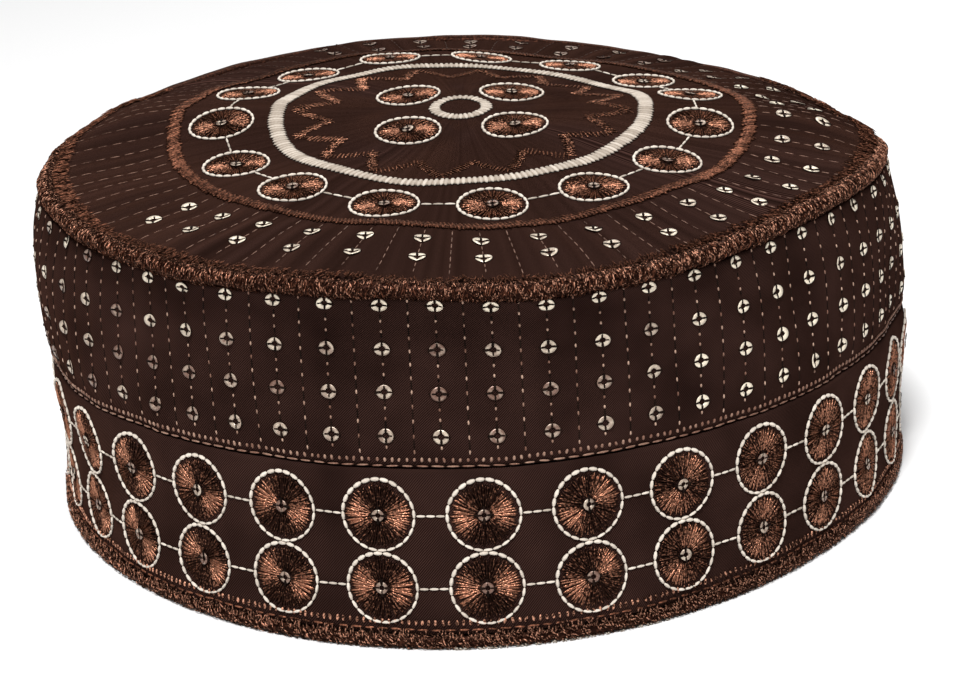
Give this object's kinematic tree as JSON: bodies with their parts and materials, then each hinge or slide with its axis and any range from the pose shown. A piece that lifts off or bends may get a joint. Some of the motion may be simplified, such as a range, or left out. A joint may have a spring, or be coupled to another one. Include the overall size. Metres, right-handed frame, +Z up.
{
  "type": "embroidered round cap",
  "caption": "Soft round brimless cloth cap with a flat crown, upright side wall, lower band and rim binding, embroidered all over with rings, rosettes and sequins.",
  "frame": {"origin": "middle of the cap's footprint, at the rim's underside", "axes": "+Z up out of the crown, -Y towards the front of the cap, +X to the right of someone who faces its front"},
  "size_m": [0.19, 0.1898, 0.0853],
  "materials": {
    "satin_cloth": "dark purple-brown satin twill, soft sheen",
    "trim_thread": "copper-brown overlock thread, shaggy",
    "cream_thread": "cream satin stitch",
    "brown_thread": "brown rayon satin stitch, shiny"
  },
  "bodies": {
    "root": {"crown": "satin_cloth", "crown_edge_binding": "trim_thread", "side_wall": "satin_cloth", "lower_band": "satin_cloth", "rim_binding": "trim_thread", "centre_ring": "cream_thread", "white_ring": "cream_thread", "brown_ring": "brown_thread"}
  },
  "joints": []
}
